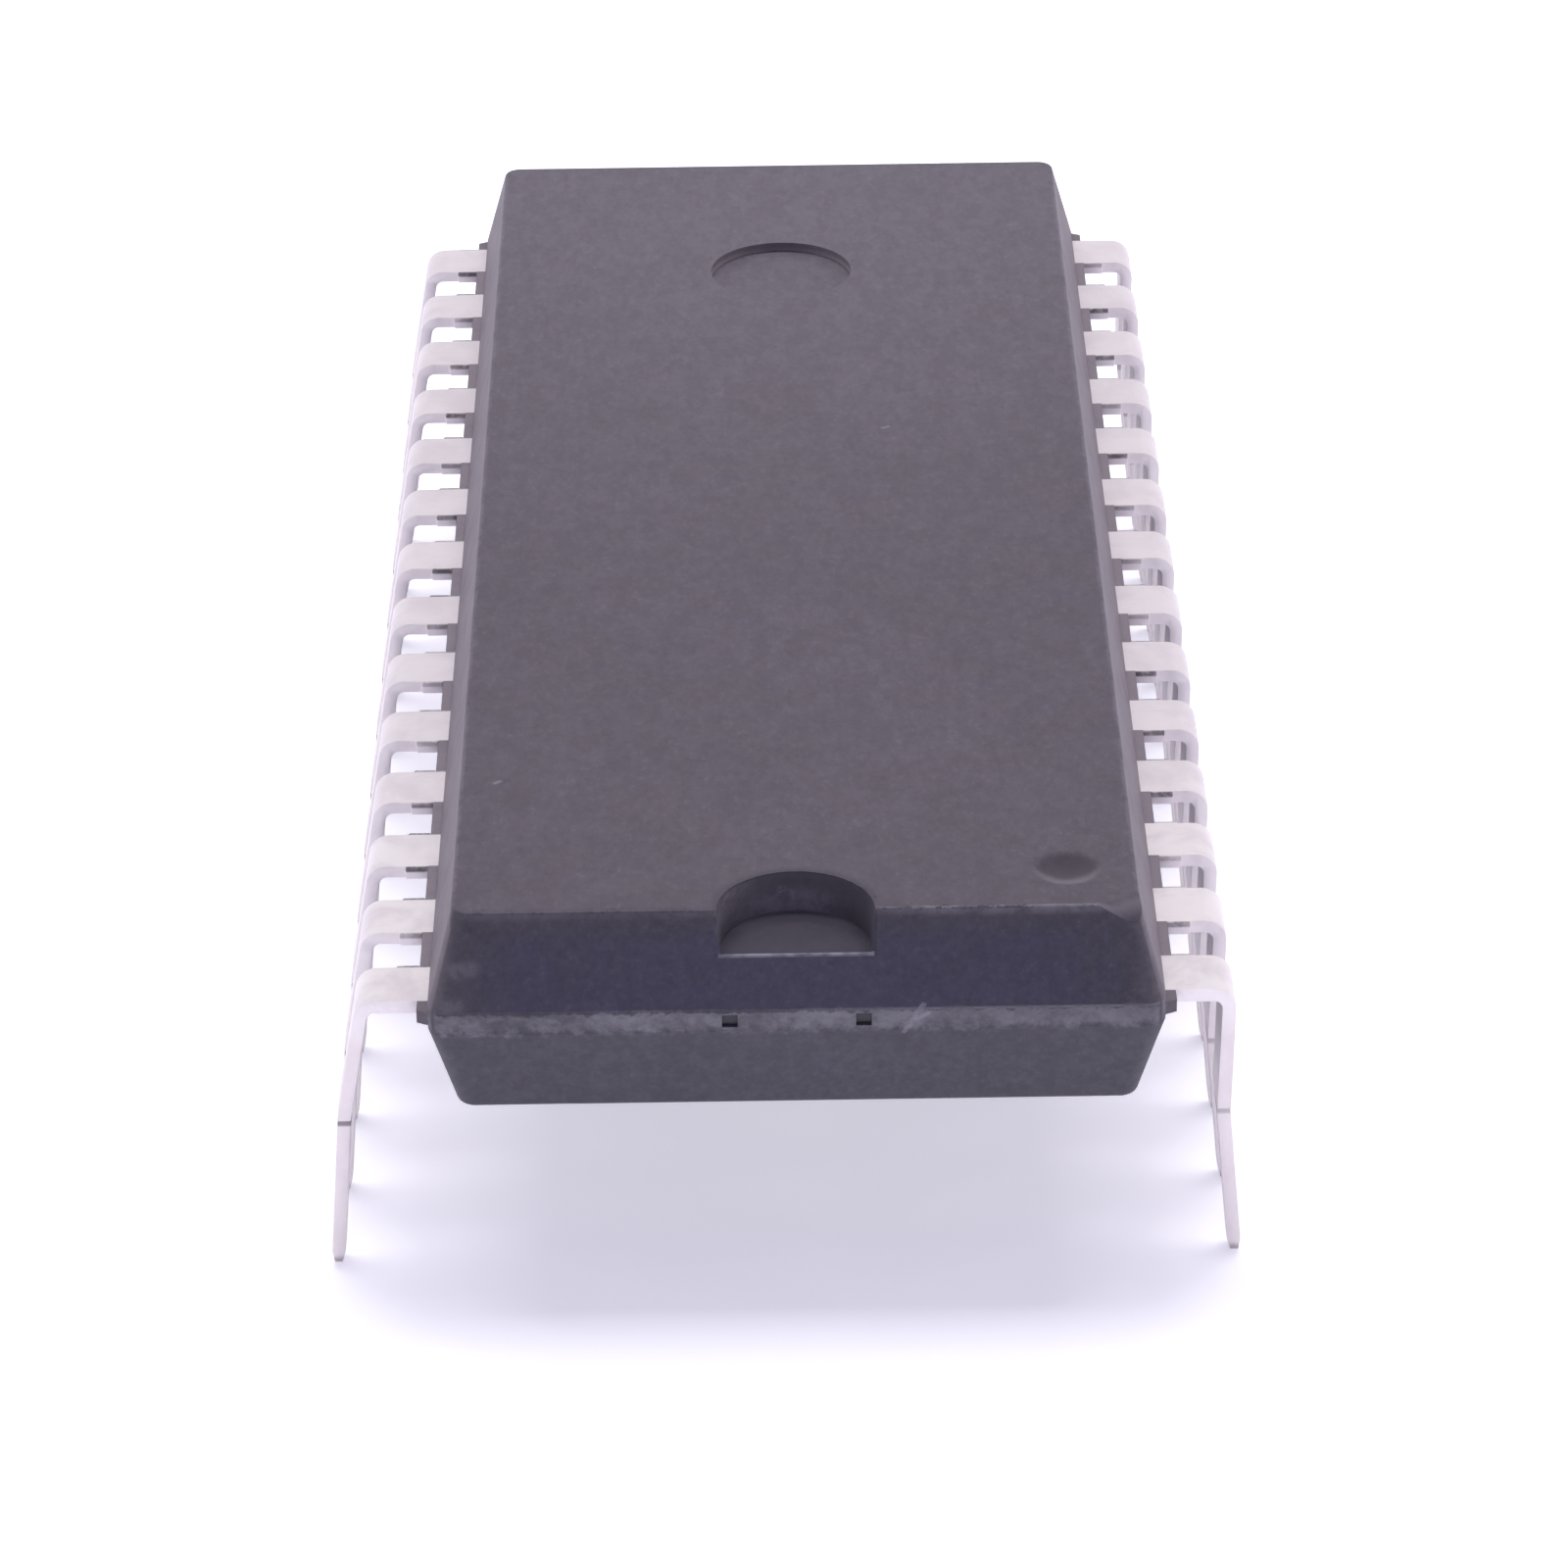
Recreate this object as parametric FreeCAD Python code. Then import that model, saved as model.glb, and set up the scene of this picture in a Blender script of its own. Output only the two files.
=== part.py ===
# Memory chip in a wide 28-pin dual-in-line plastic package, lying on the tips of its own leads.
# Units are millimetres. +Z is up, z = 0 is the plane of the lead tips, x = 0 and y = 0 are the
# middle of the package. The end with the half-round notch faces -Y and the +X row starts with pin 1.
import FreeCAD, Part

import math
import os

Vector = FreeCAD.Vector

# Lead pattern
leads_per_row = 14
lead_pitch = 2.54

# Moulded body, measured at the parting line
end_margin = 0.68              # edge of the last lead to the end wall
body_width = 13.24
half_thickness = 2.00          # parting plane to the top face, and to the bottom face
parting_band = 0.43            # upright land round the parting line
draft_angle = 15.0             # slope of the four walls above and below the land, degrees
corner_radius = 0.34           # upright corners
top_rim_radius = 0.06          # edge round the top face
bottom_rim_radius = 0.18       # edge round the bottom face
worn_along_end = 0.76          # rubbed corner of the top face near pin 1, along the end edge
worn_along_side = 0.45
worn_drop = 0.33

# Marks moulded into the body
notch_radius = 1.42
notch_depth = 0.80
notch_draft = 4.0              # degrees
ejector_radius = 1.52
ejector_depth = 0.20
ejector_inset = 5.98           # from the end of the top face to the mark's centre
dimple_radius = 0.66
dimple_depth = 0.13
dimple_side_inset = 1.24       # from the long edge of the top face to the dimple's centre
dimple_end_inset = 1.42        # from the notch end of the top face to the dimple's centre

# Lead frame sheet and the outer leads
frame_thickness = 0.25
shoulder_width = 1.26
pin_width = 0.46
shoulder_overhang = 1.31       # side wall to the outer corner that the bend rounds off
bend_inner_radius = 0.16
standoff = 0.38                # bottom face of the body down to the seating step
pin_length = 3.30              # seating step down to the tip
step_slope = 0.12              # slanted corner where the shoulder narrows to the pin
tip_taper = 0.28               # height of the pointed tip
tip_width = 0.26
tip_thickness = 0.15
leg_lean = {"right": -1.5, "left": 10.0}   # degrees outwards, body to seating step
pin_lean = {"right": 5.0, "left": 4.5}     # degrees outwards, seating step to tip

# What trimming the frame leaves at the parting line
flash_reach = 0.20             # resin left between the leads, beyond the side wall
flash_end_length = 0.34        # straight stretch of flash past the last leads
flash_corner_gap = 0.06        # from the slanted flash's root to the end wall
dam_stub_length = 0.42         # sheared ends of the dam bar on each lead
dam_stub_height = 0.06

# Inside the body
embedded_shoulder = 0.72       # full-width part of a lead inside the side wall
finger_width = 0.40
finger_wall_inset = 0.10       # outermost long run inside the end of the full-width part
paddle_half_width = 2.60
paddle_half_length = 4.30
fingers_at_end = 2             # fingers of each quarter that stop at the paddle's end
finger_gap = 0.40              # finger to paddle, beside it
finger_end_gap = 0.45          # finger to paddle, at its end
tie_bar_gap = 0.38             # first finger to tie bar
tip_inset = 0.25               # outermost tip beside the paddle to the paddle's end
tie_bar_x = 1.20
tie_bar_width = 0.28
tie_bar_recess = 0.08          # cut end below the end wall's land
die_width = 3.40
die_length = 5.60
die_thickness = 0.35
adhesive_thickness = 0.04
adhesive_margin = 0.10         # adhesive squeezed out round the die
wire_radius = 0.017
wire_rise = 0.20               # height of the loop above the die
wire_inset = 0.14              # bond to the edge of the die
stitch_inset = 0.16            # bond to the tip of the finger

# Derived places
half_sheet = frame_thickness / 2
seat_z = pin_length
body_bottom_z = seat_z + standoff
frame_z = body_bottom_z + half_thickness
body_top_z = frame_z + half_thickness
first_lead_y = -lead_pitch * (leads_per_row - 1) / 2
half_length = shoulder_width / 2 + end_margin - first_lead_y
half_width = body_width / 2
half_band = parting_band / 2
wall_inset = (half_thickness - half_band) * math.tan(math.radians(draft_angle))
top_half_length = half_length - wall_inset
top_half_width = half_width - wall_inset
flash_x = half_width + flash_reach
shoulder_reach = half_width + shoulder_overhang
embedded_x = half_width - embedded_shoulder
leads_per_quarter = leads_per_row // 2
fingers_beside = leads_per_quarter - fingers_at_end
first_run_x = tie_bar_x + (tie_bar_width + finger_width) / 2 + tie_bar_gap
beside_run_x = paddle_half_width + finger_gap + finger_width / 2
outer_run_x = embedded_x - finger_wall_inset
tip_pitch = (paddle_half_length - tip_inset) / (fingers_beside - 0.5)
die_seat_z = frame_z + half_sheet
die_bottom_z = die_seat_z + adhesive_thickness
die_top_z = die_bottom_z + die_thickness


def lead_y(place):
    """Centre of the lead at a place counted from the notch end, starting at 0."""
    return first_lead_y + place * lead_pitch


def rounded_rectangle(half_x, half_y, radius, z):
    """Closed wire of a rectangle with round corners, level at height z."""
    reach = radius * math.sqrt(0.5)
    corners = [(1, -1, 0), (1, 1, 1), (-1, 1, 0), (-1, -1, 1)]
    edges = []
    ends = []
    for sign_x, sign_y, x_last in corners:
        centre = Vector(sign_x * (half_x - radius), sign_y * (half_y - radius), z)
        on_x_wall = centre + Vector(sign_x * radius, 0, 0)
        on_y_wall = centre + Vector(0, sign_y * radius, 0)
        middle = centre + Vector(sign_x * reach, sign_y * reach, 0)
        first, last = (on_x_wall, on_y_wall) if x_last else (on_y_wall, on_x_wall)
        edges.append(Part.Arc(first, middle, last).toShape())
        ends.append((first, last))
    for here, after in zip(ends, ends[1:] + ends[:1]):
        edges.append(Part.LineSegment(here[1], after[0]).toShape())
    return Part.Wire(Part.__sortEdges__(edges))


def tapered_block(lower, upper):
    """Solid between two levels, each given as half width, half length and height."""
    wires = [rounded_rectangle(x, y, corner_radius, z) for x, y, z in (lower, upper)]
    return Part.makeLoft(wires, True, True)


def rim_edges(block, z):
    """Edges of a block that lie wholly at height z."""
    return [e for e in block.Edges if all(abs(v.Z - z) < 1e-6 for v in e.Vertexes)]


def body_block():
    """Both drafted halves and the upright land between them, before anything is cut."""
    low_land = (half_width, half_length, frame_z - half_band)
    high_land = (half_width, half_length, frame_z + half_band)
    top = tapered_block(high_land, (top_half_width, top_half_length, body_top_z))
    bottom = tapered_block((top_half_width, top_half_length, body_bottom_z), low_land)
    top = top.makeFillet(top_rim_radius, rim_edges(top, body_top_z))
    bottom = bottom.makeFillet(bottom_rim_radius, rim_edges(bottom, body_bottom_z))
    land = tapered_block(low_land, high_land)
    return top.fuse([land, bottom]).removeSplitter()


def notch():
    """Half-round orientation notch in the top edge of the -Y end."""
    foot_radius = notch_radius - notch_depth * math.tan(math.radians(notch_draft))
    foot = Vector(0, -top_half_length, body_top_z - notch_depth)
    slope = (notch_radius - foot_radius) / notch_depth
    return Part.makeCone(foot_radius, notch_radius + slope * notch_depth, 2 * notch_depth, foot)


def ejector_marks():
    """Shallow round pockets: one in the top face at the far end, two in the bottom face."""
    y = top_half_length - ejector_inset
    marks = [Part.makeCylinder(ejector_radius, 2 * ejector_depth, Vector(0, y, body_top_z - ejector_depth))]
    for sign in (-1, 1):
        foot = Vector(0, sign * y, body_bottom_z - ejector_depth)
        marks.append(Part.makeCylinder(ejector_radius, 2 * ejector_depth, foot))
    return marks


def worn_corner():
    """Small slanted facet where the top face's corner near pin 1 is rubbed off."""
    corner = Vector(top_half_width, -top_half_length, body_top_z)
    on_end = corner - Vector(worn_along_end, 0, 0)
    on_side = corner + Vector(0, worn_along_side, 0)
    below = corner - Vector(0, 0, worn_drop)
    outward = (on_side - on_end).cross(below - on_end).normalize()
    if outward.z < 0:
        outward = -outward
    spread = 3 * worn_along_end
    along = (below - on_end).normalize()
    across = outward.cross(along)
    middle = (on_end + on_side + below) / 3
    turns = [(-1, -1), (1, -1), (1, 1), (-1, 1)]
    square = [middle + along * a * spread + across * b * spread for a, b in turns]
    return Part.Face(Part.makePolygon(square + square[:1])).extrude(outward * worn_along_end)


def pin_one_dimple():
    """Ball-shaped dimple beside pin 1."""
    ball = (dimple_radius ** 2 + dimple_depth ** 2) / (2 * dimple_depth)
    x = top_half_width - dimple_side_inset
    y = -top_half_length + dimple_end_inset
    return Part.makeSphere(ball, Vector(x, y, body_top_z - dimple_depth + ball))


def plate(x_limits, y_limits, z_limits):
    """Box between two x, two y and two z values."""
    sides = [(min(pair), max(pair)) for pair in (x_limits, y_limits, z_limits)]
    size = [high - low for low, high in sides]
    return Part.makeBox(*size, Vector(*[low for low, high in sides]))


def trim_flash():
    """Resin left at the parting line between the leads, and slanted tabs beyond the last ones."""
    low, high = frame_z - half_sheet, frame_z + half_sheet
    half_lead = shoulder_width / 2
    root_x = half_width - embedded_shoulder / 2
    pieces = []
    for side in (-1, 1):
        for place in range(leads_per_row - 1):
            limits = (lead_y(place) + half_lead, lead_y(place + 1) - half_lead)
            pieces.append(plate((side * root_x, side * flash_x), limits, (low, high)))
        for end in (-1, 1):
            start = -first_lead_y + half_lead
            outline = [(root_x, start), (flash_x, start), (flash_x, start + flash_end_length),
                       (half_width - corner_radius, half_length - flash_corner_gap),
                       (root_x, half_length - flash_corner_gap)]
            points = [Vector(side * x, end * y, low) for x, y in outline]
            tab = Part.Face(Part.makePolygon(points + points[:1]))
            pieces.append(tab.extrude(Vector(0, 0, high - low)))
    return pieces


def lead_profile(row):
    """Side view of an outer lead in the XZ plane: flat shoulder, bend, leg and pin."""
    leg = math.radians(leg_lean[row])
    pin = math.radians(pin_lean[row])
    leg_way = Vector(math.sin(leg), 0, -math.cos(leg))
    pin_way = Vector(math.sin(pin), 0, -math.cos(pin))
    leg_out = Vector(math.cos(leg), 0, math.sin(leg))
    pin_out = Vector(math.cos(pin), 0, math.sin(pin))
    outer_radius = bend_inner_radius + frame_thickness
    # The bend is tangent to the shoulder's top plane and to the leg's outer plane,
    # which cross at the shoulder's reach.
    turn = math.pi / 2 - leg
    tangent = outer_radius * math.tan(turn / 2)
    top = frame_z + half_sheet
    corner = Vector(shoulder_reach, 0, top)
    bend_start = corner - Vector(tangent, 0, 0)
    bend_end = corner + leg_way * tangent
    centre = bend_start - Vector(0, 0, outer_radius)
    bisector = Vector(math.sin(turn / 2), 0, math.cos(turn / 2))
    # The leg and the pin share a mitre where they meet at the seating step.
    kink = bend_end + leg_way * ((bend_end.z - seat_z) / math.cos(leg))
    mitre = (leg_out + pin_out).normalize()
    kink_inner = kink - mitre * (frame_thickness / mitre.dot(leg_out))
    taper = kink + pin_way * ((kink.z - tip_taper) / math.cos(pin))
    taper_inner = kink_inner + pin_way * ((kink_inner.z - tip_taper) / math.cos(pin))
    thinning = pin_out * ((frame_thickness - tip_thickness) / 2)
    to_floor = pin_way * (tip_taper / math.cos(pin))
    tip, tip_inner = taper + to_floor - thinning, taper_inner + to_floor + thinning
    tip, tip_inner = Vector(tip.x, 0, 0), Vector(tip_inner.x, 0, 0)
    inner_start = centre + leg_out * bend_inner_radius
    inner_end = centre + Vector(0, 0, bend_inner_radius)
    back_top = Vector(embedded_x, 0, top)
    back_low = Vector(embedded_x, 0, top - frame_thickness)
    line = lambda a, b: Part.LineSegment(a, b).toShape()
    outer_arc = Part.Arc(bend_start, centre + bisector * outer_radius, bend_end).toShape()
    inner_arc = Part.Arc(inner_start, centre + bisector * bend_inner_radius, inner_end).toShape()
    return Part.Wire([
        line(back_top, bend_start), outer_arc, line(bend_end, kink), line(kink, taper),
        line(taper, tip), line(tip, tip_inner), line(tip_inner, taper_inner),
        line(taper_inner, kink_inner), line(kink_inner, inner_start),
        inner_arc, line(inner_end, back_low), line(back_low, back_top),
    ])


def lead_front(y):
    """Front view of a lead in the YZ plane: wide shoulder, seating step and tapered pin."""
    wide, narrow, point = shoulder_width / 2, pin_width / 2, tip_width / 2
    high = frame_z + frame_thickness
    edges = []
    for side in (-1, 1):
        outline = [(wide, high), (wide, seat_z), (narrow + step_slope, seat_z),
                   (narrow, seat_z - step_slope), (narrow, tip_taper), (point, 0)]
        points = [Vector(0, y + side * across, z) for across, z in outline]
        edges += [Part.LineSegment(a, b).toShape() for a, b in zip(points, points[1:])]
    edges.append(Part.LineSegment(Vector(0, y - wide, high), Vector(0, y + wide, high)).toShape())
    edges.append(Part.LineSegment(Vector(0, y - point, 0), Vector(0, y + point, 0)).toShape())
    return Part.Face(Part.Wire(Part.__sortEdges__(edges)))


def finger_route(place):
    """Middle line of a finger from the side wall to its tip, for the half nearest the notch."""
    start = Vector(embedded_x, lead_y(place), 0)
    if place < fingers_at_end:
        # Runs along the package and stops at the paddle's end.
        run_x = first_run_x + (beside_run_x - first_run_x) * place / fingers_at_end
        stop_y = -paddle_half_length - finger_end_gap
        return [start, Vector(run_x, start.y + start.x - run_x, 0), Vector(run_x, stop_y, 0)]
    order = place - fingers_at_end
    run_x = beside_run_x + (outer_run_x - beside_run_x) * order / (fingers_beside - 1)
    tip_y = -tip_pitch * (fingers_beside - order - 0.5)
    if order == 0:
        # Lies beside the paddle.
        return [start, Vector(run_x, start.y + start.x - run_x, 0), Vector(run_x, tip_y, 0)]
    tip_x = paddle_half_width + finger_gap
    landing = tip_x + finger_width
    turn_y = start.y + start.x - run_x
    if turn_y < tip_y - (run_x - landing):
        # Runs along the package, then slants in to the paddle.
        return [start, Vector(run_x, turn_y, 0), Vector(run_x, tip_y - (run_x - landing), 0),
                Vector(landing, tip_y, 0), Vector(tip_x, tip_y, 0)]
    # The middle fingers slant once and go straight in.
    return [start, Vector(start.x - (tip_y - start.y), tip_y, 0), Vector(tip_x, tip_y, 0)]


def ribbon(route, width):
    """Flat strip of constant width with mitred corners along a level route."""
    points = [p for i, p in enumerate(route) if i == 0 or (p - route[i - 1]).Length > 1e-6]
    ways = [(b - a).normalize() for a, b in zip(points, points[1:])]
    normals = [Vector(-w.y, w.x, 0) for w in ways]
    offsets = [normals[0]]
    for before, after in zip(normals, normals[1:]):
        middle = (before + after).normalize()
        offsets.append(middle * (1 / middle.dot(before)))
    offsets.append(normals[-1])
    left = [p + o * (width / 2) for p, o in zip(points, offsets)]
    right = [p - o * (width / 2) for p, o in zip(points, offsets)]
    outline = left + right[::-1] + left[:1]
    face = Part.Face(Part.makePolygon([p + Vector(0, 0, frame_z - half_sheet) for p in outline]))
    return face.extrude(Vector(0, 0, frame_thickness))


def finger_end(place):
    """Tip of the finger at a place, and the way it points, on the +X side."""
    near = min(place, leads_per_row - 1 - place)
    route = finger_route(near)
    tip, way = route[-1], (route[-1] - route[-2]).normalize()
    if place != near:
        return Vector(tip.x, -tip.y, 0), Vector(way.x, -way.y, 0)
    return tip, way


def lead(row, place):
    """One whole lead, inner finger to pin tip, at a place counted from the notch end."""
    y = lead_y(place)
    strip = Part.Face(lead_profile(row)).extrude(Vector(0, shoulder_width, 0))
    strip.translate(Vector(0, y - shoulder_width / 2, 0))
    outline = lead_front(y).extrude(Vector(shoulder_reach + pin_length, 0, 0))
    outer = strip.common(outline)
    # The dam bar joined neighbours only, so the leads at the ends carry a stub on one side.
    stub_start = y - shoulder_width / 2 - dam_stub_height * (place > 0)
    stub_end = y + shoulder_width / 2 + dam_stub_height * (place < leads_per_row - 1)
    stub = plate((flash_x, flash_x + dam_stub_length), (stub_start, stub_end),
                 (frame_z - half_sheet, frame_z + half_sheet))
    near = min(place, leads_per_row - 1 - place)
    route = finger_route(near)
    root = route[0] + Vector(embedded_shoulder / 2, 0, 0)
    finger = ribbon([root] + route, finger_width)
    if place != near:
        finger = finger.mirror(Vector(0, 0, 0), Vector(0, 1, 0))
    whole = outer.fuse([stub, finger]).removeSplitter()
    if row == "left":
        whole = whole.mirror(Vector(0, 0, 0), Vector(1, 0, 0))
    return whole


def die_paddle():
    """Plate that carries the die, with two tie bars to each end wall."""
    sheet = (frame_z - half_sheet, frame_z + half_sheet)
    shape = plate((-paddle_half_width, paddle_half_width), (-paddle_half_length, paddle_half_length), sheet)
    bar_end = half_length - tie_bar_recess
    bars = []
    for side_x in (-1, 1):
        for side_y in (-1, 1):
            middle = side_x * tie_bar_x
            limits = (middle - tie_bar_width / 2, middle + tie_bar_width / 2)
            bars.append(plate(limits, (side_y * paddle_half_length, side_y * bar_end), sheet))
    return shape.fuse(bars).removeSplitter()


def tie_bar_pockets():
    """Openings in the end walls in front of the cut tie bars."""
    sheet = (frame_z - half_sheet, frame_z + half_sheet)
    pockets = []
    for side_x in (-1, 1):
        for side_y in (-1, 1):
            middle = side_x * tie_bar_x
            limits = (middle - tie_bar_width / 2, middle + tie_bar_width / 2)
            depth = (side_y * (half_length - tie_bar_recess), side_y * (half_length + tie_bar_recess))
            pockets.append(plate(limits, depth, sheet))
    return pockets


def die():
    """Silicon die, glued to the middle of the paddle."""
    return plate((-die_width / 2, die_width / 2), (-die_length / 2, die_length / 2),
                 (die_bottom_z, die_top_z))


def die_adhesive():
    """Thin layer of adhesive under the die."""
    half_x = die_width / 2 + adhesive_margin
    half_y = die_length / 2 + adhesive_margin
    return plate((-half_x, half_x), (-half_y, half_y), (die_seat_z, die_bottom_z))


def bond_wire(side, place):
    """Fine wire from a pad on the die, over a loop, to the tip of a finger."""
    tip, way = finger_end(place)
    stitch = tip - way * stitch_inset
    stitch = Vector(side * stitch.x, stitch.y, frame_z + half_sheet)
    pad_pitch = (die_length - 2 * wire_inset) / (leads_per_row - 1)
    pad_y = (place - (leads_per_row - 1) / 2) * pad_pitch
    pad = Vector(side * (die_width / 2 - wire_inset), pad_y, die_top_z)
    loop_top = pad + Vector(0, 0, wire_rise)
    shoulder = stitch + (loop_top - stitch) * 0.5 + Vector(0, 0, wire_rise / 2)
    route = [pad, loop_top, shoulder, stitch]
    return faceted_wire(route)


def faceted_wire(route):
    """Four-sided wire along a route that lies in one upright plane, its ends cut level."""
    first, last = route[0], route[-1]
    along = Vector(last.x - first.x, last.y - first.y, 0).normalize()
    across = Vector(-along.y, along.x, 0)
    ways = [(b - a).normalize() for a, b in zip(route, route[1:])]
    cuts = [Vector(0, 0, 1)] + [(a + b).normalize() for a, b in zip(ways, ways[1:])] + [Vector(0, 0, 1)]
    ring = [first + offset * wire_radius for offset in (along, across, -along, -across)]
    rings = [ring]
    for point, way, cut in zip(route[1:], ways, cuts[1:]):
        ring = [p + way * ((point - p).dot(cut) / way.dot(cut)) for p in ring]
        rings.append(ring)
    faces = [Part.Face(Part.makePolygon(end + end[:1])) for end in (rings[0], rings[-1])]
    for low, high in zip(rings, rings[1:]):
        for i, j in ((0, 1), (1, 2), (2, 3), (3, 0)):
            faces.append(Part.Face(Part.makePolygon([low[i], low[j], high[j], high[i], low[i]])))
    solid = Part.makeSolid(Part.makeShell(faces))
    if solid.Volume < 0:
        solid.reverse()
    return solid


def pin_number(side, place):
    """Pins count up the +X row from the notch, and back down the -X row."""
    return place + 1 if side > 0 else 2 * leads_per_row - place


def main():
    leads = {}
    for side, row in ((1, "right"), (-1, "left")):
        for place in range(leads_per_row):
            leads[f"lead_{pin_number(side, place):02d}"] = lead(row, place)
    wires = [bond_wire(side, place) for side in (1, -1) for place in range(leads_per_row)]
    paddle = die_paddle()
    silicon = die()
    adhesive = die_adhesive()
    inside = list(leads.values()) + wires + [paddle, silicon, adhesive]
    block = body_block()
    block = block.cut([notch(), pin_one_dimple(), worn_corner()] + ejector_marks() + tie_bar_pockets())
    block = block.fuse(trim_flash()).removeSplitter()
    body = block.cut(inside)
    nodes = {
        "moulded_body": body,
        "die_paddle": paddle,
        "silicon_die": silicon,
        "die_adhesive": adhesive,
        "bond_wires": Part.makeCompound(wires),
        **leads,
    }
    os.makedirs("parts", exist_ok=True)
    for name, shape in sorted(nodes.items()):
        shape.exportStep(f"parts/{name}.step")
        print(name, "solids", len(shape.Solids), "valid", shape.isValid(), "volume", round(shape.Volume, 3))


main()
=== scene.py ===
import math

import bmesh
import bpy
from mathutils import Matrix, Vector


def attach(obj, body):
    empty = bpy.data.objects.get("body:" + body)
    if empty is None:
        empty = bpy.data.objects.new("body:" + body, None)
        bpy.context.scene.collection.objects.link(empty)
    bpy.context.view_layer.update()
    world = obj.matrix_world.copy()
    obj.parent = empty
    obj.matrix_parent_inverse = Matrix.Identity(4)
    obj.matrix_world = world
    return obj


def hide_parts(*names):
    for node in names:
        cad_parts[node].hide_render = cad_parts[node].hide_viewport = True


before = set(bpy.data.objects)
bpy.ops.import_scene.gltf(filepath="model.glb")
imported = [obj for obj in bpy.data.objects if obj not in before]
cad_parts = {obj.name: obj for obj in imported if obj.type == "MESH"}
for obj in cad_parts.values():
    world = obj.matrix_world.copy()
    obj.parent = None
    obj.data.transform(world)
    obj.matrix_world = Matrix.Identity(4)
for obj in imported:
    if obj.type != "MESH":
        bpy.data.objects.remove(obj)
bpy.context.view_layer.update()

mm = 0.001
# the package's sizes in mm, from its centre and over the floor
partingZ = 5.68
landHalf = 0.215        # half the height of the upright land at the parting line
topZ = 7.68
sideX = 6.62            # side wall at the parting line
endY = 17.82            # end wall at the parting line
topSideX = 6.14         # edge of the top face
topEndY = 17.34         # end of the top face
seatZ = 3.30            # seating step of the leads
stubX = 7.25            # outer end of the dam bar's stubs
leadCount = 28
leadPitch = 2.54
shoulderHalf = 0.63     # half width of a lead's shoulder
notchX = 1.42           # half width of the notch
notchY = 15.90          # its inner end
notchZ = 6.88           # its floor
lipY = 17.555           # where its floor breaks out of the end wall


# shader helpers
class Sock:
    # a socket that takes part in plain arithmetic
    def __init__(self, shader, socket):
        self.shader = shader
        self.socket = socket

    def __add__(self, other):
        return self.shader.maths("ADD", self, other)

    def __sub__(self, other):
        return self.shader.maths("SUBTRACT", self, other)

    def __rsub__(self, other):
        return self.shader.maths("SUBTRACT", other, self)

    def __mul__(self, other):
        return self.shader.maths("MULTIPLY", self, other)

    def __pow__(self, other):
        return self.shader.maths("POWER", self, other)

    def __abs__(self):
        return self.shader.maths("ABSOLUTE", self)

    __radd__ = __add__

    def upTo(self, other):
        return self.shader.maths("MINIMUM", self, other)

    def atLeast(self, other):
        return self.shader.maths("MAXIMUM", self, other)

    def ramp(self, low, high):
        # 0 at low, 1 at high, smooth between
        return self.shader.node("ShaderNodeMapRange", {"interpolation_type": "SMOOTHSTEP"},
                                {"Value": self, "From Min": low, "From Max": high})


class Shader:
    def __init__(self, name, colour, **constants):
        self.material = bpy.data.materials.new(name)
        self.material.use_nodes = True
        self.tree = self.material.node_tree
        self.tree.nodes.clear()
        self.surface = self.tree.nodes.new("ShaderNodeBsdfPrincipled")
        for socket, value in constants.items():
            self.surface.inputs[socket.replace("_", " ")].default_value = value
        output = self.tree.nodes.new("ShaderNodeOutputMaterial")
        self.tree.links.new(self.surface.outputs[0], output.inputs[0])
        self.colour = colour
        # object coordinates in millimetres, whole and split
        self.point = self.vector("SCALE", self.node("ShaderNodeTexCoord", out="Object"), scale=1 / mm)
        self.x, self.y, self.z = [self.node("ShaderNodeSeparateXYZ", inputs={0: self.point}, out=i)
                                  for i in range(3)]

    def node(self, kind, settings=None, inputs=None, out=0):
        made = self.tree.nodes.new(kind)
        for key, value in (settings or {}).items():
            setattr(made, key, value)
        for key, value in (inputs or {}).items():
            if isinstance(value, Sock):
                self.tree.links.new(value.socket, made.inputs[key])
            else:
                made.inputs[key].default_value = value
        return Sock(self, made.outputs[out])

    def feed(self, socket, value):
        self.tree.links.new(value.socket, self.surface.inputs[socket])

    def maths(self, operation, *values):
        return self.node("ShaderNodeMath", {"operation": operation}, dict(enumerate(values)))

    def vector(self, operation, a, b=None, scale=None):
        inputs = {0: a}
        if b is not None:
            inputs[1] = b
        if scale is not None:
            inputs["Scale"] = scale
        out = "Value" if operation in ("DOT_PRODUCT", "DISTANCE") else "Vector"
        return self.node("ShaderNodeVectorMath", {"operation": operation}, inputs, out)

    def fromAxis(self, x, y):
        # distance in mm from an upright axis
        offX, offY = self.x - x, self.y - y
        return (offX * offX + offY * offY) ** 0.5

    def noise(self, scale, detail, rough, warp=0.0, stretch=None):
        point = self.vector("MULTIPLY", self.point, stretch) if stretch else self.point
        return self.node("ShaderNodeTexNoise", None, {"Vector": point, "Scale": scale, "Detail": detail,
                                                      "Roughness": rough, "Distortion": warp})

    def noises(self, table):
        return {name: self.noise(*values) for name, values in table.items()}

    def mix(self, factor, a, b, blend="MIX"):
        return self.node("ShaderNodeMix", {"data_type": "RGBA", "blend_type": blend, "clamp_factor": True},
                         {0: factor, 6: a, 7: b}, 2)

    def paint(self, mask, tone, blend="MIX"):
        # lays a tone over the colour so far
        self.colour = self.mix(mask, self.colour, tone, blend)

    def bump(self, height, depth, strength, under=None):
        inputs = {"Height": height, "Distance": depth * mm, "Strength": strength}
        if under:
            inputs["Normal"] = under
        return self.node("ShaderNodeBump", None, inputs)


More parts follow.
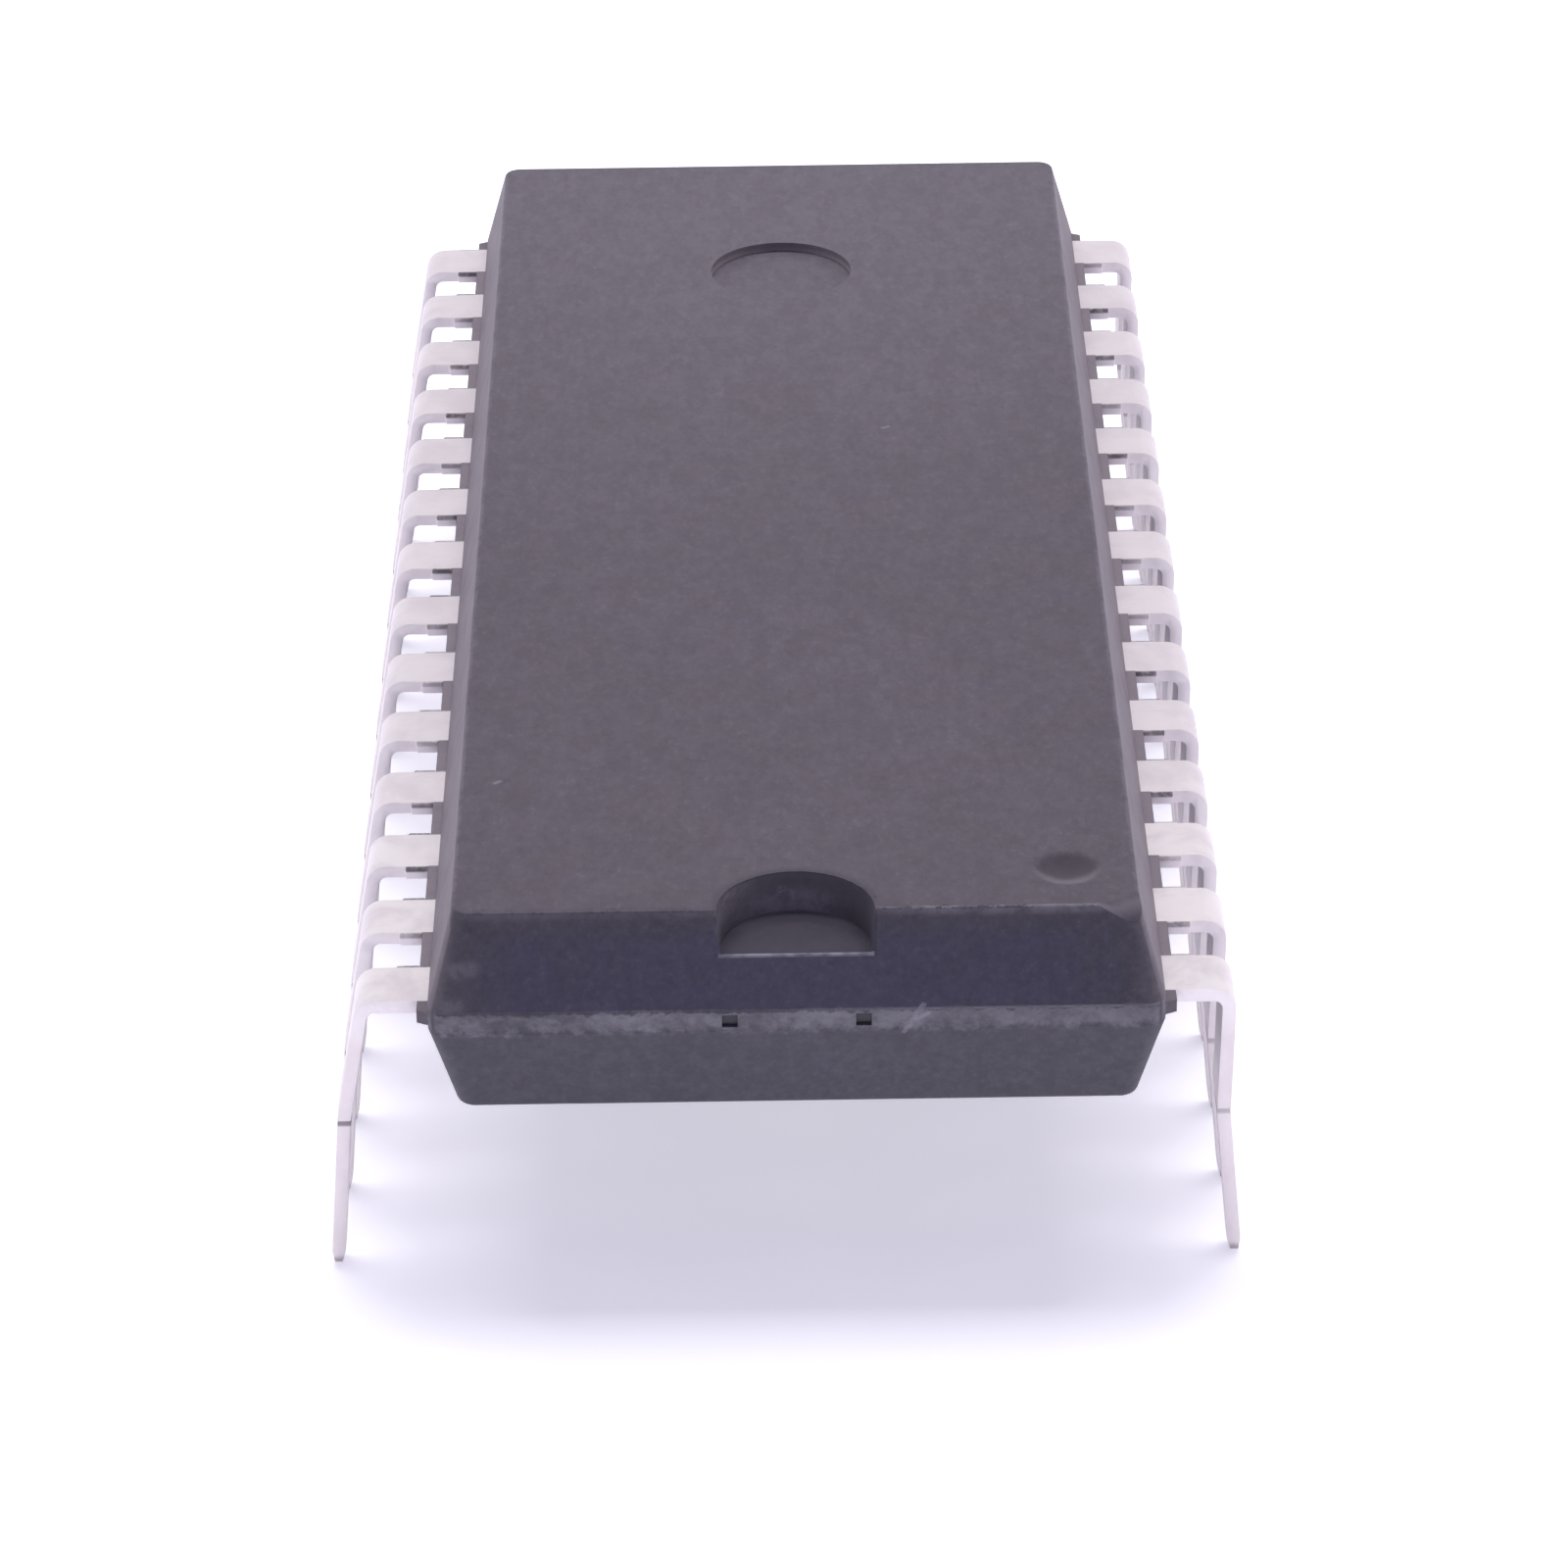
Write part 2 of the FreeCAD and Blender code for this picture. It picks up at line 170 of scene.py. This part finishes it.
def rgb(red, green, blue):
    # a colour as an eye reads it, 0 to 255, made linear
    return tuple(((c / 255 + 0.055) / 1.055) ** 2.4 for c in (red, green, blue)) + (1.0,)


# moulding compound
resin = {
    "roughness": 0.60,
    "grainDepth": 0.009,                      # mm
    "tornDepth": 0.015,
    "sharpAngle": 25,                         # edges over it are drawn sharp
    "tone": rgb(94, 89, 98),
    "cloudTone": rgb(103, 96, 107),
    "warmTone": rgb(98, 90, 97),
    "speckLow": (0.74, 0.74, 0.77, 1.0),      # darkens the pits
    "speckHigh": (0.052, 0.047, 0.054, 1.0),  # added on the grains
    "mottle": (0.885, 0.884, 0.880, 1.0),     # darkens in patches of a few tenths
    "bandTone": rgb(176, 173, 182),
    "farSheenTone": rgb(124, 118, 128),
    "landEdgeShadeTone": rgb(74, 71, 83),
    "upperEndShadeTone": rgb(88, 86, 106),
    "lowerBounceLightTone": rgb(115, 114, 124),
    "slopeSheenTone": rgb(139, 130, 138),
    "flashTone": rgb(156, 144, 151),
    "nibTone": rgb(124, 115, 122),
    "paleWearAndLightTone": rgb(138, 132, 143),
    "markWallLightTone": rgb(214, 202, 204),
    "chipAndEdgeShadeTone": rgb(60, 55, 66),
    "wornPaleLitTone": rgb(122, 114, 124),
    "wornShadeTone": rgb(86, 79, 90),
    "lipHighlightAndScuffTone": rgb(178, 173, 184),
    "notchShadeTone": rgb(70, 66, 78),
    "wallTone": rgb(138, 131, 145),
    "wallTopTone": rgb(102, 97, 107),
    "dimpleShadeTone": rgb(62, 58, 66),
    "noise": {
        # scale per mm, detail, roughness, distortion and stretch
        "grain": (8.0, 5.0, 0.7, 0.0, (1.0, 0.6, 1.0)),
        "cloud": (0.22, 4.0, 0.55, 0.6),
        "warmth": (0.75, 4.0, 0.65, 0.8),
        "smear": (0.9, 3.0, 0.6, 1.5, (1.0, 0.45, 1.0)),
        "blotch": (1.3, 6.0, 0.72, 0.0, (0.8, 0.8, 1.2)),
        "ragged": (3.6, 5.0, 0.72),
        "patchy": (3.2, 4.0, 0.65, 0.0, (1.0, 0.5, 1.0)),
        "broken": (1.3, 3.0, 0.7),
    },
    "dimple": (4.902, -15.922, 0.66),         # centre and radius
    "ejector": (11.362, 1.52, 0.20),          # y of the centre, radius and depth
    "wornCorner": [(5.382, -17.342, 7.68), (6.142, -16.892, 7.68), (6.142, -17.342, 7.35)],
    # the two ends and the width of each handling mark
    "scratches": [((-5.50, -12.35, 7.68), (-5.42, -12.28, 7.68), 0.07),
                  ((2.02, 3.1, 7.68), (2.14, 3.16, 7.68), 0.06)],
    "scuffs": [((1.92, -17.83, 5.40), (2.26, -17.80, 5.96), 0.075),
               ((2.05, -17.83, 5.62), (2.36, -17.81, 5.80), 0.06)],
    "smudges": [((-6.06, -17.60, 6.66), (-5.78, -17.60, 6.70), 0.24),
                ((-6.26, -17.74, 6.02), (-6.06, -17.74, 6.04), 0.22)],
    "flecks": [((-0.25, -15.97, 7.33), (-0.10, -15.97, 7.24), 0.12)],
}


def paintSkin(shader, noise):
    x, y, z = shader.x, shader.y, shader.z
    cloud, warmth, grain = noise["cloud"], noise["warmth"], noise["grain"]
    shader.paint(cloud.ramp(0.38, 0.66) * 0.6, resin["cloudTone"])
    shader.paint(warmth.ramp(0.46, 0.66) * 0.5, resin["warmTone"])
    # painted bounce light makes the lower half paler, and painted shade makes the upper end walls darker
    # and cooler, with painted light near their corners
    lower = z.ramp(partingZ - 0.14, partingZ - 0.30)
    shader.paint(lower * (cloud * 0.4 + 0.4), resin["lowerBounceLightTone"])
    upperEnd = abs(y).ramp(topEndY + 0.01, topEndY + 0.05) * z.ramp(partingZ + 0.2, partingZ + 0.25)
    middle = abs(x + (warmth - 0.5) * 2.0).ramp(6.3, 4.9) * z.ramp(topZ - 0.05, topZ - 0.6)
    shader.paint(upperEnd * (middle * 0.75 + 0.05), resin["upperEndShadeTone"])
    shader.paint(upperEnd * abs(x).ramp(5.9, 6.5) * 0.30, resin["slopeSheenTone"])
    shader.paint(noise["smear"].ramp(0.54, 0.74) * 0.25, resin["cloudTone"])
    # painted sheen: the top turns paler away from the notch
    shader.paint(y.ramp(-8.0, 17.0) * z.ramp(topZ - 0.4, topZ - 0.25) * 0.42, resin["farSheenTone"])
    shader.paint(noise["patchy"].ramp(0.62, 0.38), resin["mottle"], "MULTIPLY")
    shader.paint(grain.ramp(0.52, 0.26) * 0.6, resin["speckLow"], "MULTIPLY")
    shader.paint(grain.ramp(0.50, 0.76) * 0.65, resin["speckHigh"], "ADD")


def paintLand(shader, noise):
    # the land at the parting line is pale in blotches between ragged edges, more unevenly towards -X
    x, y = shader.x, shader.y
    height = shader.z - partingZ
    ragged = noise["ragged"]
    onEnd = abs(y).ramp(endY - 0.12, endY - 0.04)
    onWall = onEnd.atLeast(abs(x).ramp(sideX - 0.12, sideX - 0.04))
    above = (height + (ragged - 0.5) * 0.16).ramp(0.26, 0.17)
    below = (height + (ragged - 0.5) * 0.40).ramp(-0.30, -0.08)
    band = above * below * onWall
    fading = (x * 0.05 + 0.5).ramp(1.2, 0.10)
    patches = (noise["blotch"] * 0.6 + ragged * 0.4).ramp(0.36, 0.66) * (fading * 0.58 + 0.42)
    shader.paint(band * (patches * 0.68 + 0.31 - fading * 0.13), resin["bandTone"])
    # darker ragged patches in its upper edge on the ends, painted shade carried down from the upper wall,
    # and a broken pale line on that edge towards +X
    bitten = (height - 0.15 + (ragged - 0.5) * 0.45).ramp(0.0, 0.05)
    bitten = bitten * height.ramp(landHalf + 0.01, landHalf - 0.005)
    shader.paint(bitten * onEnd * 0.7, resin["landEdgeShadeTone"])
    crease = abs(height - (landHalf - 0.01)).ramp(0.035, 0.012) * onWall * (x + 2.0).ramp(0.0, 5.0)
    shader.paint(crease * ragged.ramp(0.34, 0.6) * 0.45, resin["bandTone"])
    return band


def paintSides(shader, noise):
    # painted sheen lightens the long side slopes, and the flash along them is paler
    x, z = shader.x, shader.z
    fromEnd = endY - abs(shader.y)
    aside = (fromEnd - (sideX - abs(x))).ramp(0.0, 0.10) * z.ramp(partingZ - 0.25, partingZ - 0.1)
    aside = aside * abs(x).ramp(topSideX - 0.01, topSideX + 0.04)
    aside = aside * z.ramp(partingZ + 0.19, partingZ + 0.23).atLeast(fromEnd.ramp(0.50, 0.72))
    shader.paint(aside * (noise["blotch"].ramp(0.3, 0.6) * 0.3 + 0.55), resin["slopeSheenTone"])
    shader.paint(aside * abs(x).ramp(sideX + 0.01, sideX + 0.05) * 0.22, resin["flashTone"])
    # flash nibs by the four corners
    nib = fromEnd.ramp(1.0, 0.8) * abs(x).ramp(sideX - 0.02, sideX + 0.03)
    shader.paint(nib * (noise["ragged"].ramp(0.35, 0.6) * 0.25 + 0.7), resin["nibTone"])


def paintRim(shader, noise):
    # the top face's rim is rubbed, more so by pin 1
    x, y, z = shader.x, shader.y, shader.z
    ragged = noise["ragged"]
    inset = (topEndY - abs(y)).upTo(topSideX - abs(x))
    rim = abs(inset + (ragged - 0.5) * 0.14).ramp(0.09, 0.02) * z.ramp(topZ - 0.20, topZ - 0.03)
    nearPinOne = x.ramp(0.5, 2.5) * y.ramp(-16.9, -17.2)
    shader.paint(rim * noise["blotch"].ramp(0.36, 0.58) * (nearPinOne * 0.5 + 0.35), resin["paleWearAndLightTone"])
    # its sharp edge is nibbled at the notch end and round the notch, and painted shade darkens the top
    # next to that edge except by pin 1
    fromEdge = (topEndY + y).upTo(shader.fromAxis(0.0, -topEndY) - notchX)
    chipsAndEdgeShade = ((ragged - 0.54) * 1.3 - fromEdge).ramp(-0.02, 0.03) * 0.7
    chipsAndEdgeShade = chipsAndEdgeShade.atLeast(fromEdge.ramp(0.22, 0.0) * (1 - nearPinOne) * 0.42)
    shader.paint(chipsAndEdgeShade * z.ramp(topZ - 0.04, topZ - 0.01), resin["chipAndEdgeShadeTone"])
    return rim


def paintWornCorner(shader, noise):
    # the facet rubbed off the corner by pin 1, painted in the top face's light near its upper edge and
    # with painted shade lower down
    a, b, c = [Vector(p) for p in resin["wornCorner"]]
    outwards = (b - a).cross(c - a).normalized()
    outwards *= math.copysign(1, outwards.z)
    worn = (shader.vector("DOT_PRODUCT", shader.point, outwards) - outwards.dot(a)).ramp(-0.014, -0.004)
    worn = worn * shader.z.ramp(topZ - 0.0005, topZ - 0.003)
    sunk = topZ - shader.z + (noise["ragged"] - 0.5) * 0.25
    facetLightAndShade = shader.mix(sunk.ramp(0.08, 0.34), resin["wornPaleLitTone"], resin["wornShadeTone"])
    shader.paint(worn * (sunk.ramp(0.0, 0.12) * 0.5 + 0.4), facetLightAndShade)
    return worn


def paintSunkMarks(shader):
    # pin 1 dimple: painted shade darkens it, with painted light on its side towards the notch end
    dimpleX, dimpleY, dimpleRadius = resin["dimple"]
    offX, offY = shader.x - dimpleX, shader.y - dimpleY
    inDimple = shader.fromAxis(dimpleX, dimpleY).ramp(dimpleRadius + 0.02, dimpleRadius - 0.16)
    shade = (offY - offX * offX * 0.9).ramp(-0.42, -0.12)
    shader.paint(inDimple * shade * 0.60, resin["dimpleShadeTone"])
    shader.paint(inDimple * (1 - shade) * 0.25, resin["paleWearAndLightTone"])

    # painted light on the wall of the ejector mark, which is paler than its shadow would leave it
    z = shader.z
    markY, markRadius, markDepth = resin["ejector"]
    markFloor = topZ - markDepth
    wall = abs(shader.fromAxis(0.0, markY) - markRadius).ramp(0.04, 0.01)
    wall = wall * z.ramp(markFloor + 0.0005, markFloor + 0.003) * z.ramp(topZ - 0.002, topZ - 0.01)
    low = z.ramp(topZ - 0.06, markFloor + 0.01)
    shader.paint(wall * (low * 0.36 + 0.16), resin["markWallLightTone"])


def paintNotch(shader, noise):
    # a smoother floor with painted shade, rubbed walls with painted shade on their +X side, and a painted
    # highlight along a broken lip in the end wall
    x, y, z = shader.x, shader.y, shader.z
    fromWall = shader.fromAxis(0.0, -topEndY) - notchX
    inNotch = abs(x).ramp(notchX + 0.06, notchX) * (y + notchY).ramp(0.05, -0.02)
    floorPart = inNotch * abs(z - notchZ).ramp(0.05, 0.01)
    # painted shade on the floor of the notch
    shader.paint(floorPart * 0.68, resin["notchShadeTone"])
    underWall = fromWall.ramp(-0.42, -0.08) * floorPart * (y + topEndY).ramp(0.5, 1.1)
    shader.paint(underWall * 0.45, resin["wallTone"])
    wallPart = inNotch * z.ramp(notchZ + 0.01, notchZ + 0.06) * z.ramp(topZ - 0.005, topZ - 0.04)
    facing = abs(x).ramp(notchX, 0.3)
    wallLook = shader.mix(z.ramp(notchZ + 0.25, topZ - 0.15), resin["wallTone"], resin["wallTopTone"])
    shader.paint(wallPart * facing * (noise["ragged"].ramp(0.35, 0.6) * 0.5 + 0.5), wallLook)
    # painted shade on the +X side of the walls
    shader.paint(wallPart * x.ramp(0.2, 1.2) * 0.6, resin["notchShadeTone"])
    chafed = x.ramp(-0.6, -1.2) * noise["blotch"].ramp(0.40, 0.60) * z.ramp(notchZ + 0.2, topZ - 0.1)
    shader.paint(wallPart * chafed * 0.5, resin["paleWearAndLightTone"])
    # painted highlight along the lip
    lipHighlight = abs(z - notchZ).ramp(0.055, 0.02) * abs(y + lipY).ramp(0.07, 0.035)
    lipHighlight = lipHighlight * abs(x).ramp(notchX, notchX - 0.05)
    shader.paint(lipHighlight * (noise["broken"].ramp(0.36, 0.56) * 0.5 + 0.28), resin["lipHighlightAndScuffTone"])
    return floorPart


def handlingMask(shader, marks):
    # 1 on thin straight marks
    mask = None
    for start, end, width in marks:
        along = Vector(end) - Vector(start)
        offset = shader.vector("SUBTRACT", shader.point, Vector(start))
        share = shader.vector("DOT_PRODUCT", offset, along / along.length_squared).atLeast(0.0).upTo(1.0)
        nearest = shader.vector("SCALE", along, scale=share)
        mark = shader.vector("DISTANCE", offset, nearest).ramp(width, width * 0.3)
        mask = mask.atLeast(mark) if mask else mark
    return mask


def paintHandling(shader, noise):
    ragged = noise["ragged"]
    scratches, scuffs, smudges, flecks = [handlingMask(shader, resin[kind])
                                          for kind in ("scratches", "scuffs", "smudges", "flecks")]
    shader.paint(scratches * 0.28, resin["bandTone"])
    shader.paint(scuffs * (ragged.ramp(0.38, 0.58) * 0.75 + 0.15), resin["lipHighlightAndScuffTone"])
    shader.paint(smudges * (ragged.ramp(0.38, 0.60) * 0.34 + 0.16), resin["paleWearAndLightTone"])
    shader.paint(flecks * ragged.ramp(0.40, 0.60) * 0.5, resin["bandTone"])


def makeResin():
    shader = Shader("mouldingCompound", resin["tone"], Specular_IOR_Level=0.20, IOR=1.5)
    noise = shader.noises(resin["noise"])
    grain, ragged = noise["grain"], noise["ragged"]
    paintSkin(shader, noise)
    band = paintLand(shader, noise)
    paintSides(shader, noise)
    rim = paintRim(shader, noise)
    worn = paintWornCorner(shader, noise)
    paintSunkMarks(shader)
    floorPart = paintNotch(shader, noise)
    paintHandling(shader, noise)
    shader.feed("Base Color", shader.colour)
    unevenness = grain * 0.16 + noise["cloud"] * 0.08 + band * 0.12 - floorPart * 0.08
    shader.feed("Roughness", unevenness + (resin["roughness"] - 0.12))

    fine = shader.bump(grain, resin["grainDepth"], 0.7)
    torn = shader.bump(ragged * band * 0.5 + rim * ragged * 0.6, resin["tornDepth"], 0.6, fine)
    # the worn corner's shading turns slowly out of the top face
    turned = worn * (topZ - shader.z).ramp(0.26, 0.0) * 0.9
    upright = (0.0, 0.0, 1.0)
    normal = shader.node("ShaderNodeMix", {"data_type": "VECTOR"}, {0: turned, 4: torn, 5: upright}, 1)
    shader.feed("Normal", shader.vector("NORMALIZE", normal))
    return shader.material


# tinned leads
tin = {
    "roughness": 0.55,
    "surfaceDepth": 0.010,      # mm
    "edgeRadius": 0.028,
    "edgeSteps": 2,
    "bevelAngle": 32,           # edges over it are rounded
    "sharpAngle": 40,           # edges over it are drawn sharp
    "tone": rgb(246, 240, 243),
    "dullTone": rgb(227, 220, 226),
    "legTone": rgb(236, 228, 228),
    "shearTone": rgb(92, 84, 92),
    "stainAndShadeTone": rgb(120, 112, 120),
    "noise": {
        # scale per mm, detail, roughness, distortion and stretch
        "blot": (0.9, 4.0, 0.6, 0.5),
        "fine": (14.0, 3.0, 0.6),
        "drawn": (2.0, 3.0, 0.6, 0.2, (1.0, 3.2, 0.35)),
        "torn": (5.0, 4.0, 0.7),
        "bitten": (0.45, 2.0, 0.5),
    },
}


def makeTin():
    shader = Shader("tinnedLead", tin["tone"], Specular_IOR_Level=0.5)
    x, y, z = shader.x, shader.y, shader.z
    noise = shader.noises(tin["noise"])
    blot, fine, drawn = noise["blot"], noise["fine"], noise["drawn"]
    shader.paint(blot.ramp(0.40, 0.68) * 0.7, tin["dullTone"])
    shader.paint(drawn.ramp(0.54, 0.74) * 0.25, tin["dullTone"])
    shader.paint(y.ramp(-16.0, -4.0) * 0.5, tin["dullTone"])
    shader.paint(z.ramp(partingZ - 0.2, partingZ - 1.0) * 0.6, tin["legTone"])

    # the sheared dam bar shows dark torn metal above the middle of the sheet
    across = shader.maths("WRAP", y, leadPitch, 0.0) - leadPitch / 2    # from each lead's middle line
    edge = abs(across).ramp(shoulderHalf + 0.004, shoulderHalf + 0.03)
    # in the -X row it darkens the far edge of the shoulders too
    farLine = across.ramp(shoulderHalf - 0.05, shoulderHalf - 0.01) * x.ramp(0.0, -1.0)
    reach = abs(x).ramp(stubX + 0.03, stubX - 0.03) * z.ramp(partingZ + 0.01, partingZ + 0.05)
    torn = noise["torn"].ramp(0.36, 0.56) * 0.35 + 0.55
    bitten = noise["bitten"].ramp(0.38, 0.60) * 0.55 + 0.40      # some stubs more than others
    sheared = edge.atLeast(farLine) * reach * torn * bitten
    shader.paint(sheared, tin["shearTone"])

    # painted shade under the seating step, whole on the first lead of the -X row, and stains on the cut
    # tips
    firstLeft = x.ramp(-7.0, -7.2) * y.ramp(-16.0, -16.2)
    stepShade = abs(z - seatZ + 0.16).ramp(0.20, 0.13) * blot.ramp(0.34, 0.48).atLeast(firstLeft)
    shader.paint(stepShade * (x.ramp(1.0, -1.0) * 0.35 + 0.45), tin["stainAndShadeTone"])
    shader.paint(z.ramp(0.22, 0.04) * 0.5, tin["stainAndShadeTone"])

    shader.feed("Base Color", shader.colour)
    shader.feed("Metallic", blot * 0.12 + 0.66 - sheared * 0.35)
    shader.feed("Roughness", fine * 0.10 + blot * 0.14 + (tin["roughness"] - 0.10))
    shader.feed("Normal", shader.bump(blot * 0.5 + drawn * 0.3 + fine * 0.25, tin["surfaceDepth"], 0.5))
    return shader.material


# what the body hides
inner = {
    # tone, other tone, metallic, roughness, and scale of its patches
    "die_paddle": (rgb(196, 132, 92), rgb(168, 106, 74), 0.9, 0.34, 2.5),
    "silicon_die": (rgb(92, 94, 104), rgb(70, 78, 98), 0.75, 0.16, 5.0),
    "die_adhesive": (rgb(170, 168, 166), rgb(140, 138, 138), 0.3, 0.58, 8.0),
    "bond_wires": (rgb(240, 200, 104), rgb(214, 168, 76), 1.0, 0.24, 20.0),
}
tarnishTone = rgb(50, 47, 58)


def makeInner(name, tone, otherTone, metallic, roughness, scale):
    shader = Shader(name, tone)
    patch = shader.noise(scale, 4.0, 0.6)
    tarnish = abs(shader.y).ramp(endY - 0.55, endY - 0.30)        # cut ends of the tie bars
    shader.paint(patch.ramp(0.4, 0.65), otherTone)
    shader.paint(tarnish, tarnishTone)
    shader.feed("Base Color", shader.colour)
    shader.feed("Metallic", (1 - tarnish) * metallic)
    shader.feed("Roughness", patch * 0.12 + (roughness - 0.06))
    shader.feed("Normal", shader.bump(patch, 0.004, 0.6))
    return shader.material


# meshes
meshing = {
    "mergeDistance": 0.0005,    # mm
    "flatAngle": 1.0,           # faces that meet at less are made one
}


def mergedCopy(node):
    # a CAD solid as one clean mesh: doubles merged and flat faces whole again
    work = bmesh.new()
    work.from_mesh(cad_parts[node].data)
    bmesh.ops.remove_doubles(work, verts=work.verts, dist=meshing["mergeDistance"] * mm)
    bmesh.ops.dissolve_limit(work, angle_limit=math.radians(meshing["flatAngle"]),
                             verts=work.verts, edges=work.edges)
    return work


def addObject(name, data):
    added = bpy.data.objects.new(name, data)
    bpy.context.scene.collection.objects.link(added)
    return added


def addMesh(name, work, material):
    mesh = bpy.data.meshes.new(name)
    work.to_mesh(mesh)
    work.free()
    mesh.materials.append(material)
    return addObject(name, mesh)


def finishPiece(work, name, node, material, sharpAngle, creaseHeights=()):
    for edge in work.edges:
        bent = len(edge.link_faces) != 2 or edge.calc_face_angle(0) > math.radians(sharpAngle)
        onCrease = any(all(abs(v.co.z - h * mm) < 0.002 * mm for v in edge.verts) for h in creaseHeights)
        edge.smooth = not (bent or onCrease)
    for face in work.faces:
        face.smooth = True
    piece = addMesh(name, work, material)
    piece.modifiers.new("faceNormals", "WEIGHTED_NORMAL").keep_sharp = True
    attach(piece, "root")
    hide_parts(node)


def makeBody(material):
    finishPiece(mergedCopy("moulded_body"), "resin_body", "moulded_body", material,
                resin["sharpAngle"], (partingZ - landHalf, partingZ + landHalf))


def makeLead(node, material):
    work = mergedCopy(node)
    outside = (sideX - 0.05) * mm
    crisp = [e for e in work.edges
             if len(e.link_faces) == 2 and e.calc_face_angle(0) > math.radians(tin["bevelAngle"])
             and all(abs(v.co.x) > outside for v in e.verts)]
    bmesh.ops.bevel(work, geom=crisp, offset=tin["edgeRadius"] * mm, offset_type="OFFSET",
                    segments=tin["edgeSteps"], profile=0.5, affect="EDGES",
                    clamp_overlap=True, material=-1)
    finishPiece(work, "tinned_" + node, node, material, tin["sharpAngle"])


resinMaterial = makeResin()
tinMaterial = makeTin()
makeBody(resinMaterial)
print("body done")
for number in range(1, leadCount + 1):
    makeLead(f"lead_{number:02d}", tinMaterial)
print("leads done")
for name, values in inner.items():
    material = makeInner(name + "Finish", *values)
    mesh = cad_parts[name].data
    mesh.materials.clear()
    mesh.materials.append(material)
print("inner pieces done")


# floor, lights and camera
floorLook = {
    "size": 3.0,        # m
    "card": rgb(250, 248, 252),
    "cardShade": rgb(244, 241, 248),
    "glow": (0.475, 0.462, 0.528, 1.0),
}


def makeFloor():
    work = bmesh.new()
    bmesh.ops.create_grid(work, x_segments=8, y_segments=8, size=floorLook["size"] / 2)
    shader = Shader("paperFloor", floorLook["card"], Roughness=0.9, Specular_IOR_Level=0.1,
                    Emission_Strength=1.0)
    shader.paint(shader.noise(0.08, 3.0, 0.6) * 0.4, floorLook["cardShade"])
    shader.feed("Base Color", shader.colour)
    # it glows for the camera and in reflections, and lights nothing
    seen = shader.node("ShaderNodeLightPath", out="Is Camera Ray")
    mirrored = shader.node("ShaderNodeLightPath", out="Is Glossy Ray")
    shader.feed("Emission Color", shader.mix(seen.atLeast(mirrored), (0, 0, 0, 1), floorLook["glow"]))
    floor = addMesh("floor", work, shader.material)


lampAim = Vector((0, 0, 0.004))
lamps = [
    # name, place in m, width, height, watts, colour
    ("overhead", (0.0, 0.12, 0.40), 0.34, 0.20, 1.35, (1.0, 0.99, 1.0)),
    ("leftPanel", (-0.40, 0.06, 0.14), 0.30, 0.20, 0.43, (0.98, 0.97, 1.0)),
    ("rightPanel", (0.40, 0.06, 0.14), 0.30, 0.20, 0.49, (1.0, 0.96, 0.99)),
    ("backPanel", (0.0, 0.55, 0.12), 0.50, 0.16, 0.45, (1.0, 0.98, 1.0)),
    ("frontPanel", (0.0, -0.60, 0.03), 0.60, 0.05, 0.26, (1.0, 0.98, 1.0)),
]
roomLight = {
    "fill": (0.070, 0.079, 0.148, 1.0),     # what lights matt surfaces
    "glossy": (1.0, 0.97, 0.99, 1.0),       # what metal reflects
    "backdrop": (1.0, 1.0, 1.0, 1.0),       # what the camera sees
}


def makeLamps():
    for name, place, width, height, watts, colour in lamps:
        light = bpy.data.lights.new(name, "AREA")
        light.shape = "RECTANGLE"
        light.size, light.size_y = width, height
        light.energy = watts
        light.color = colour
        lamp = addObject(name, light)
        lamp.visible_glossy = False      # metal reflects the even room instead
        lamp.location = place
        lamp.rotation_euler = (lampAim - Vector(place)).to_track_quat("-Z", "Y").to_euler()


def makeRoom():
    world = bpy.data.worlds.new("room")
    bpy.context.scene.world = world
    world.use_nodes = True
    tree = world.node_tree
    tree.nodes.clear()
    path = tree.nodes.new("ShaderNodeLightPath")
    sky = tree.nodes.new("ShaderNodeBackground")
    out = tree.nodes.new("ShaderNodeOutputWorld")
    glossy, shown = [tree.nodes.new("ShaderNodeMix") for _ in range(2)]
    glossy.data_type = shown.data_type = "RGBA"
    glossy.inputs[6].default_value = roomLight["fill"]
    glossy.inputs[7].default_value = roomLight["glossy"]
    shown.inputs[7].default_value = roomLight["backdrop"]
    tree.links.new(path.outputs["Is Glossy Ray"], glossy.inputs[0])
    tree.links.new(path.outputs["Is Camera Ray"], shown.inputs[0])
    tree.links.new(glossy.outputs[2], shown.inputs[6])
    tree.links.new(shown.outputs[2], sky.inputs["Color"])
    tree.links.new(sky.outputs[0], out.inputs[0])


view = {
    "place": (-0.4983, -118.0532, 63.4224),   # mm
    "turn": (1.0847, 0.0117, -0.0094),
    "lens": 148.37,
    "sensor": 36.0,
    "clip": (0.005, 20.0),                    # m
}


def makeCamera():
    data = bpy.data.cameras.new("camera")
    data.sensor_width = view["sensor"]
    data.lens = view["lens"]
    data.clip_start, data.clip_end = view["clip"]
    camera = addObject("camera", data)
    camera.location = Vector(view["place"]) * mm
    camera.rotation_euler = view["turn"]
    bpy.context.scene.camera = camera


makeFloor()
makeLamps()
makeRoom()
makeCamera()
bpy.context.scene.view_settings.view_transform = "Standard"
print("stage done")
